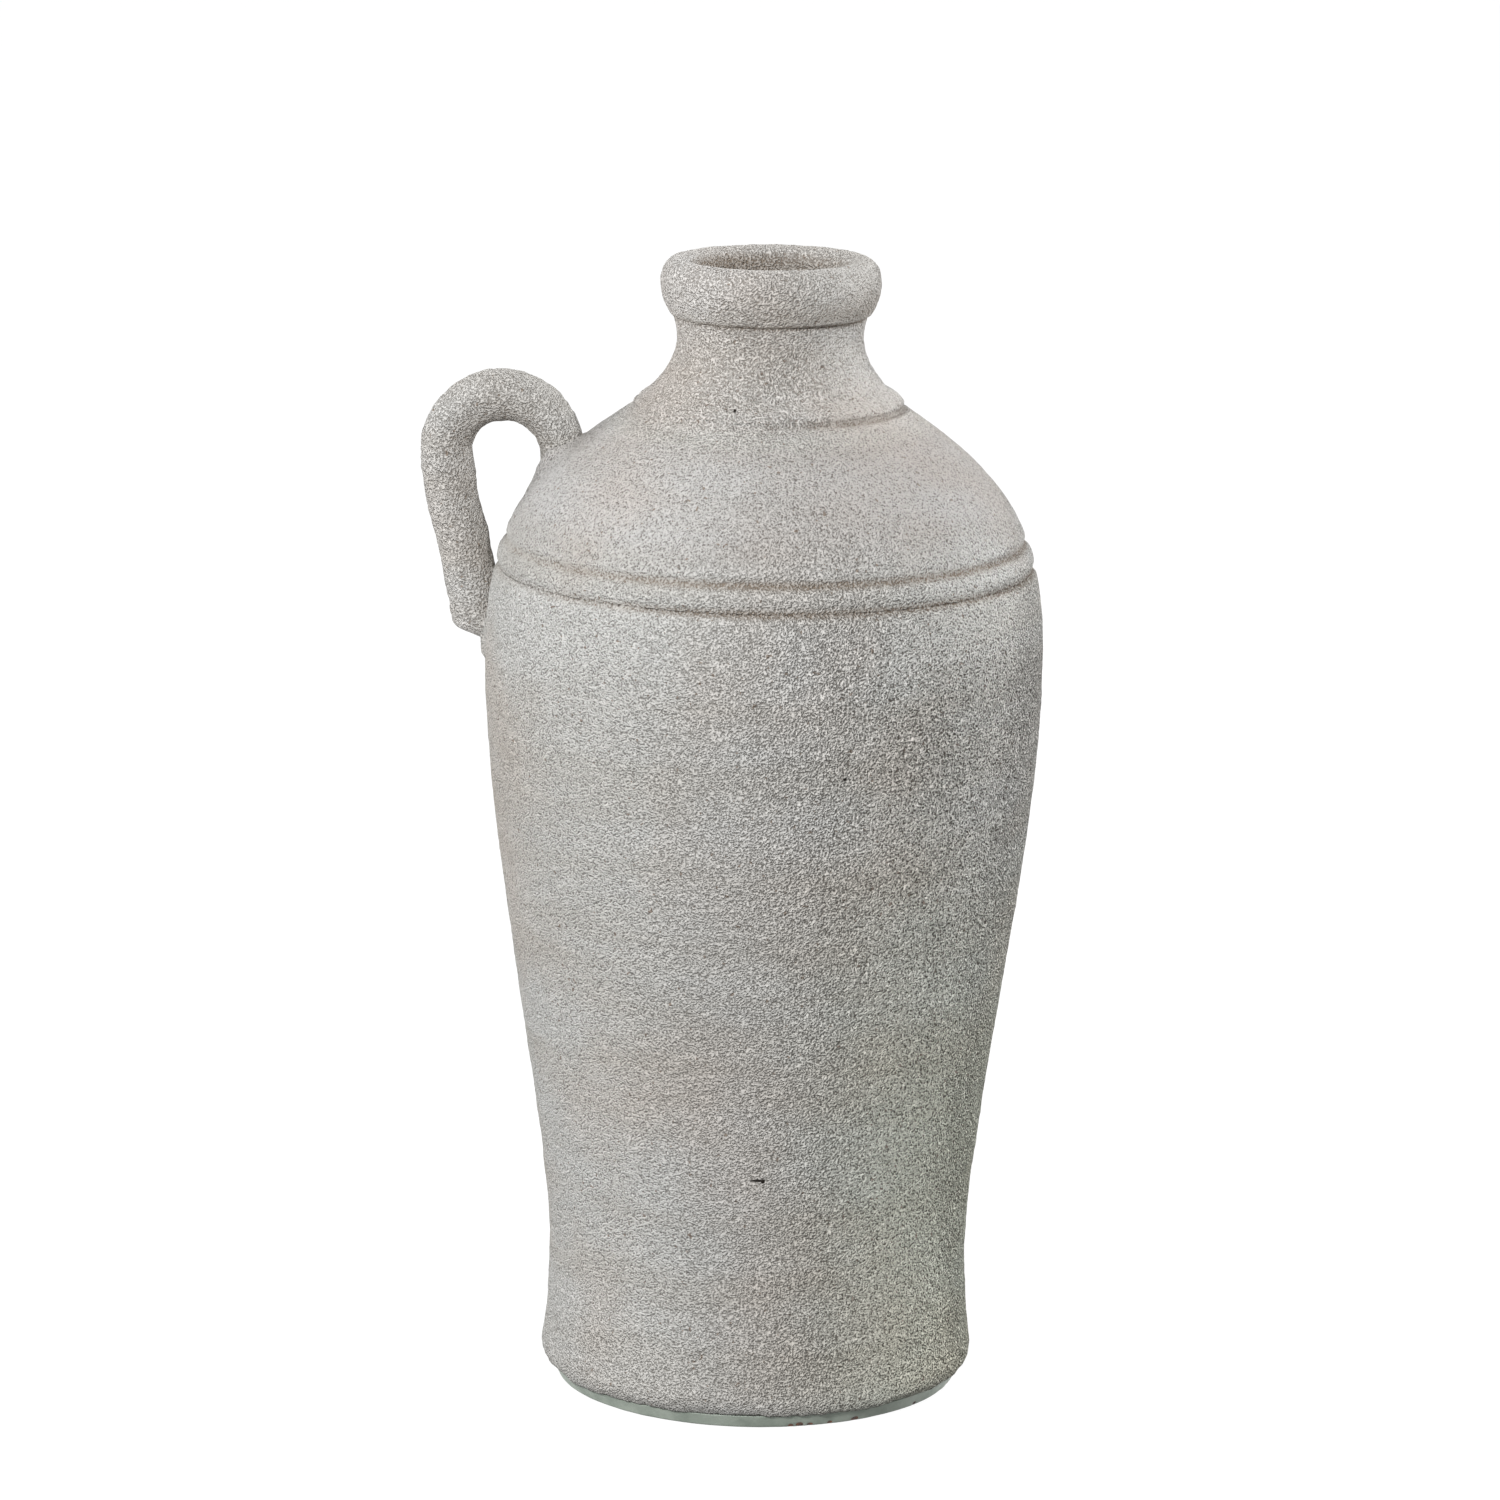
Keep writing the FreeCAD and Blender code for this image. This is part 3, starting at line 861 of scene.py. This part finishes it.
# Sand for the low right side: painted shade, with darker pits and brighter crests, as grazing light would
# shade them.
painted_light_and_shade_sand = [(0.08, (0.115, 0.105, 0.09)), (0.42, (0.56, 0.553, 0.53)), (0.94, (0.83, 0.822, 0.795))]
ring_bands = [(0.38, (0.92, 0.905, 0.885)), (0.6, (1.0, 1.0, 1.0))]
warm_patches = [(0.45, (1.0, 1.0, 1.0)), (0.7, (0.985, 0.94, 0.91))]
# A painted green reflection for the low right side.
painted_green_reflection = (0.875, 0.91, 0.815)
# Specks are dark grains; brown is for marks and painted shade; near black is painted shade in the holes.
speck_colour, dirt_and_shade_colour, hole_shade_colour = (0.30, 0.25, 0.21), (0.26, 0.205, 0.155), (0.02, 0.015, 0.012)


def sand_colour(tree, place, axes, grit, coarse_shaded_side, grains, clumps, holes):
    """The sand's colour: by grit and grains, tinted, with painted shade and a painted green reflection low on
    the right, specked, browned by marks and painted shade, and near black as painted shade in the holes.
    """
    pits = maths(tree, grains, maths(tree, clumps, 0.16, "MULTIPLY"))
    colour = blended(tree, stepped(tree, grit, fine_grit, middling_grit), ramp(tree, pits, fine_sand),
                     ramp(tree, pits, middling_sand))
    colour = blended(tree, stepped(tree, grit, middling_grit, coarse_grit), colour,
                     ramp(tree, pits, coarse_sand))
    # Painted shade low on the right side.
    colour = blended(tree, coarse_shaded_side, colour, ramp(tree, pits, painted_light_and_shade_sand))
    squashed = add_node(tree, "ShaderNodeMapping", {"Scale": (0.12, 0.12, 1.0)})
    tree.links.new(place, squashed.inputs["Vector"])
    bands = ramp(tree, noise_of(tree, squashed.outputs[0], 55), ring_bands)
    patches = ramp(tree, noise_of(tree, place, 16), warm_patches)
    colour = blended(tree, 1.0, colour, blended(tree, 1.0, bands, patches, "MULTIPLY"), "MULTIPLY")
    # A painted green reflection low on the right side.
    green_reflection_share = low_right(tree, axes, (0.0, 0.085), (0.25, 0.08))
    colour = blended(tree, green_reflection_share, colour, blended(tree, 1.0, colour, painted_green_reflection, "MULTIPLY"))
    specks = stepped(tree, noise_of(tree, place, speck_scale, 0), 0.79, 0.82)
    colour = blended(tree, specks, colour, speck_colour)
    # Brown from the points: painted shade under the seam, under the lip, in the throat and on the handle's
    # inner side, and darker brown in the grooves and on the lip, less on grain tops.
    off_grains = maths(tree, grains, -0.5, "MULTIPLY_ADD", 1.0)
    dirt_and_shade_share = maths(tree, value_of(tree, "dirt_and_shade"), off_grains, "MULTIPLY")
    colour = blended(tree, dirt_and_shade_share, colour, dirt_and_shade_colour)
    # The holes are painted near black, as shade inside them.
    return blended(tree, holes, colour, hole_shade_colour)


print("pits and crests:", fine_sand[0][1], "and", fine_sand[-1][1], "to", coarse_sand[0][1], "and",
      coarse_sand[-1][1])

# %% Sand coat
clump_relief, lump_relief = 0.22, 0.7
# Extra bump low on the right side, where painted shade also darkens the sand.
shaded_side_relief = 0.52
relief_height = 2.05 * mm


def sand_coat():
    """Coarse pale sand: grains, pits, stray specks, brown marks and painted shade from the points, and
    painted shade low on the right.
    """
    material, tree, shader = new_material("sand_coat")
    place = add_node(tree, "ShaderNodeTexCoord").outputs["Object"]
    axes = add_node(tree, "ShaderNodeSeparateXYZ")
    tree.links.new(place, axes.inputs[0])
    grains, clumps, lumps, holes = sand_grains(tree, place)
    # The low right side, which gets a stronger bump and painted shade.
    coarse_shaded_side = low_right(tree, axes, (-0.01, 0.08), (0.34, 0.26))
    grit = value_of(tree, "grit")
    relief = maths(tree, grains, maths(tree, clumps, clump_relief, "MULTIPLY"))
    relief = maths(tree, lumps, lump_relief, "MULTIPLY_ADD", relief)
    relief = maths(tree, relief, holes, "SUBTRACT")
    bump = add_node(tree, "ShaderNodeBump", {"Distance": relief_height})
    tree.links.new(maths(tree, coarse_shaded_side, shaded_side_relief, "MULTIPLY_ADD", grit), bump.inputs["Strength"])
    tree.links.new(relief, bump.inputs["Height"])
    tree.links.new(bump.outputs["Normal"], shader.inputs["Normal"])
    colour = sand_colour(tree, place, axes, grit, coarse_shaded_side, grains, clumps, holes)
    tree.links.new(colour, shader.inputs["Base Color"])
    shader.inputs["Roughness"].default_value = 0.92
    shader.inputs["Specular IOR Level"].default_value = 0.25
    material.cycles.use_bump_map_correction = False
    return material


coat = sand_coat()
print("material:", coat.name)

# %% Bare clay
clay_clouds = [(0.35, (0.26, 0.305, 0.258)), (0.65, (0.41, 0.46, 0.40))]
rust_clouds = [(0.35, (0.03, 0.015, 0.01)), (0.65, (0.22, 0.09, 0.045))]


def bare_clay():
    """Smooth fired clay: cool green-grey with a soft sheen, red-brown where it is chipped."""
    material, tree, shader = new_material("bare_clay")
    place = add_node(tree, "ShaderNodeTexCoord").outputs["Object"]
    colour = ramp(tree, noise_of(tree, place, 90, 4, 0.6), clay_clouds)
    fine = noise_of(tree, place, 700, 2, 0.6)
    rust = ramp(tree, fine, rust_clouds)
    ragged = maths(tree, value_of(tree, "dirt_and_shade"), maths(tree, fine, 0.5, "MULTIPLY"))
    colour = blended(tree, stepped(tree, ragged, 0.5, 0.62), colour, rust)
    tree.links.new(colour, shader.inputs["Base Color"])
    bump = add_node(tree, "ShaderNodeBump", {"Strength": 0.6, "Distance": 0.3 * mm})
    tree.links.new(noise_of(tree, place, 400, 3, 0.6), bump.inputs["Height"])
    tree.links.new(bump.outputs["Normal"], shader.inputs["Normal"])
    shader.inputs["Roughness"].default_value = 0.5
    return material


clay = bare_clay()
print("material:", clay.name)

# %% Riding on the jug
for piece, node, slot, material in (
    (slab_skin, "foot_slab", "bare_foot", clay),
    (wall_skin, "body_wall", "grit_coat", coat),
    (shoulder_skin, "shoulder", "grit_coat", coat),
    (neck_skin, "neck", "grit_coat", coat),
    (lip_skin, "lip", "grit_coat", coat),
    (handle_skin, "handle", "grit_coat", coat),
):
    piece.data.materials.append(material)
    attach(piece, "root")
    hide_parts(node)
    print(piece.name, "in", material.name, "replaces", node)

# %% [markdown]
# ## Floor, light and camera
#
# The jug stands on a white floor in white surroundings that light it softly. A small lamp in front, up
# on the left, gives each grain a lit side and a dark one: a large lamp there would wash the sand smooth.
# A large lamp behind on the right makes the pale rim on that side, and a weak one lights the left edge.

# %% Floor
floor_half = 6.0
floor_bounce, floor_shade, floor_glow = 0.2, 0.1, 0.96


def white_floor():
    """White to the camera, with a faint share of plain white that keeps the jug's shadow."""
    material, tree, shader = new_material("white_floor")
    tree.nodes.remove(shader)
    rays = add_node(tree, "ShaderNodeLightPath")
    seen = maths(tree, rays.outputs["Is Camera Ray"], rays.outputs["Is Glossy Ray"], "MAXIMUM")
    seen = maths(tree, seen, rays.outputs["Is Transmission Ray"], "MAXIMUM")
    plain = add_node(tree, "ShaderNodeBsdfDiffuse", {"Color": (floor_bounce, floor_bounce, floor_bounce, 1)})
    faint = add_node(tree, "ShaderNodeBsdfDiffuse", {"Color": (floor_shade, floor_shade, floor_shade, 1)})
    glow = add_node(tree, "ShaderNodeEmission", {"Color": (1, 1, 1, 1), "Strength": floor_glow})
    shown = add_node(tree, "ShaderNodeAddShader")
    tree.links.new(faint.outputs[0], shown.inputs[0])
    tree.links.new(glow.outputs[0], shown.inputs[1])
    chosen = add_node(tree, "ShaderNodeMixShader")
    tree.links.new(seen, chosen.inputs[0])
    tree.links.new(plain.outputs[0], chosen.inputs[1])
    tree.links.new(shown.outputs[0], chosen.inputs[2])
    tree.links.new(chosen.outputs[0], tree.nodes["Material Output"].inputs["Surface"])
    return material


floor_mesh = bpy.data.meshes.new("floor")
floor_mesh.from_pydata([(-floor_half, -floor_half, 0), (floor_half, -floor_half, 0),
                        (floor_half, floor_half, 0), (-floor_half, floor_half, 0)], [], [(0, 1, 2, 3)])
floor = bpy.data.objects.new("floor", floor_mesh)
bpy.context.scene.collection.objects.link(floor)
floor.data.materials.append(white_floor())
print("floor:", 2 * floor_half, "m across")

# %% World
surroundings = 0.43


def white_world(strength):
    """White to the camera, and a soft even light on the jug."""
    world = bpy.data.worlds.new("white_world")
    world.use_nodes = True
    tree = world.node_tree
    rays = add_node(tree, "ShaderNodeLightPath")
    seen = maths(tree, rays.outputs["Is Camera Ray"], rays.outputs["Is Transmission Ray"], "MAXIMUM")
    level = maths(tree, seen, 1 - strength, "MULTIPLY_ADD", strength)
    tree.links.new(level, tree.nodes["Background"].inputs["Strength"])
    tree.nodes["Background"].inputs["Color"].default_value = (1, 1, 1, 1)
    bpy.context.scene.world = world


white_world(surroundings)
print("surroundings light the jug at", surroundings)

# %% Lamps
jug_middle = Vector((0, 0, 0.2))


def add_lamp(name, place, size, power):
    """A square area lamp that points at the middle of the jug."""
    lamp = bpy.data.lights.new(name, "AREA")
    lamp.size = size
    lamp.energy = power
    rig = bpy.data.objects.new(name, lamp)
    rig.location = place
    rig.rotation_euler = (jug_middle - Vector(place)).to_track_quat("-Z", "Y").to_euler()
    bpy.context.scene.collection.objects.link(rig)
    print(name, power, "W")


add_lamp("key_lamp", (-0.62, -1.98, 1.40), size=0.4, power=47)
add_lamp("right_lamp", (1.70, 1.68, 0.62), size=2.0, power=82)
add_lamp("left_lamp", (-2.25, 0.40, 0.75), size=0.8, power=22)

# %% Camera
camera_turn, camera_dip, camera_roll = math.radians(8.0), math.radians(12.277), math.radians(0.658)
camera_start = Vector((-0.00463, -2.2612, 0.7227))
about_jug = Matrix.Rotation(camera_turn, 4, "Z")
camera_data = bpy.data.cameras.new("camera")
camera_data.sensor_width = 36
camera_data.lens = 154.86
camera_data.clip_end = 50
camera = bpy.data.objects.new("camera", camera_data)
camera.matrix_world = (Matrix.Translation(about_jug @ camera_start)
                       @ about_jug
                       @ Matrix.Rotation(math.pi / 2 - camera_dip, 4, "X")
                       @ Matrix.Rotation(camera_roll, 4, "Z"))
bpy.context.scene.collection.objects.link(camera)
bpy.context.scene.camera = camera
bpy.context.scene.view_settings.view_transform = "Standard"
print("camera at", tuple(round(value, 3) for value in camera.matrix_world.translation))

bpy.context.view_layer.update()
